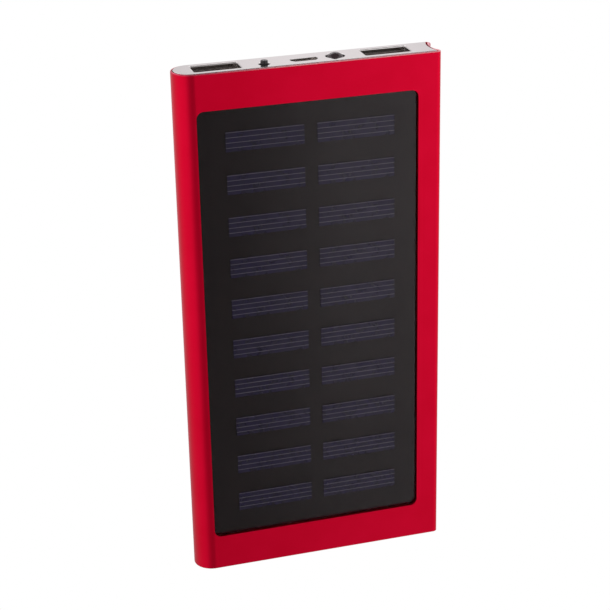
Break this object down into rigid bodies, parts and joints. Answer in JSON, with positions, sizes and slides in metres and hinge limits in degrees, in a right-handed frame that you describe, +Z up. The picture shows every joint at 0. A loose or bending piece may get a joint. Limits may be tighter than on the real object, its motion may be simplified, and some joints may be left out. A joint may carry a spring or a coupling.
{
  "type": "solar power bank",
  "caption": "Slim aluminium power bank with a solar panel in its front, and on its top end two USB sockets, a charging inlet, a push button and a torch lamp.",
  "frame": {"origin": "middle of the bottom end, on the surface that the object stands on", "axes": "+Z up along the long side, towards the end with the sockets; +X to the right of someone who faces the solar panel, towards the grooved side; +Y from the panel towards the back"},
  "size_m": [0.075, 0.0108, 0.1522],
  "materials": {
    "case": "red anodised, satin",
    "end_caps": "mirror-bright plating",
    "solar_face": "clear glossy film over a black board",
    "solar_board": "black resin board",
    "solar_cells": "blue-black silicon with silver lines",
    "foam": "grey foam",
    "circuit_board": "green solder mask",
    "socket_steel": "bright nickel plate",
    "socket_insulator": "black moulding",
    "gold_contact": "gold flash",
    "spring_steel": "stainless spring steel",
    "switch_body": "black moulding",
    "button": "black moulding, slightly glossy",
    "lamp_lens": "water-clear resin",
    "screw": "zinc plated",
    "battery_pouch": "laminated foil pouch",
    "battery_tab": "nickel strip",
    "red_insulation": "red wire insulation",
    "black_insulation": "black wire insulation",
    "chip": "black epoxy package",
    "inductor": "moulded ferrite",
    "capacitor": "yellow moulded tantalum"
  },
  "bodies": {
    "case": {"battery_cell": "battery_pouch", "battery_foam_pad": "foam", "battery_lead_black": "black_insulation", "battery_lead_red": "red_insulation", "battery_protection_board": "circuit_board", "battery_tab_negative": "battery_tab", "battery_tab_positive": "battery_tab", "board_screw_left": "screw", "board_screw_right": "screw", "boost_inductor": "inductor", "bottom_end_cap": "end_caps", "case_shell": "case", "charge_controller_chip": "chip", "charging_board": "circuit_board", "micro_usb_insulator": "socket_insulator", "micro_usb_shell": "socket_steel", "output_capacitor": "capacitor", "panel_adhesive_pad": "foam", "solar_board": "solar_board", "solar_cell_left_01": "solar_cells", "solar_cell_left_02": "solar_cells", "solar_cell_left_03": "solar_cells", "solar_cell_left_04": "solar_cells", "solar_cell_left_05": "solar_cells", "solar_cell_left_06": "solar_cells", "solar_cell_left_07": "solar_cells", "solar_cell_left_08": "solar_cells", "solar_cell_left_09": "solar_cells", "solar_cell_left_10": "solar_cells", "solar_cell_right_01": "solar_cells", "solar_cell_right_02": "solar_cells", "solar_cell_right_03": "solar_cells", "solar_cell_right_04": "solar_cells", "solar_cell_right_05": "solar_cells", "solar_cell_right_06": "solar_cells", "solar_cell_right_07": "solar_cells", "solar_cell_right_08": "solar_cells", "solar_cell_right_09": "solar_cells", "solar_cell_right_10": "solar_cells", "solar_cover": "solar_face", "solar_lead_black": "black_insulation", "solar_lead_red": "red_insulation", "switch_body": "switch_body", "switch_cover": "spring_steel", "switch_snap_disc": "spring_steel", "top_end_cap": "end_caps", "torch_led": "lamp_lens", "usb_left_contact_1": "gold_contact", "usb_left_contact_2": "gold_contact", "usb_left_contact_3": "gold_contact", "usb_left_contact_4": "gold_contact", "usb_left_insulator": "socket_insulator", "usb_left_shell": "socket_steel", "usb_right_contact_1": "gold_contact", "usb_right_contact_2": "gold_contact", "usb_right_contact_3": "gold_contact", "usb_right_contact_4": "gold_contact", "usb_right_insulator": "socket_insulator", "usb_right_shell": "socket_steel"},
    "button": {"power_button": "button"}
  },
  "joints": [
    {"name": "button_press", "type": "slide", "parent": "case", "child": "button", "axis": [0, 0, -1], "range_m": [0, 0.0003], "stiffness_N_per_m": 5300}
  ]
}
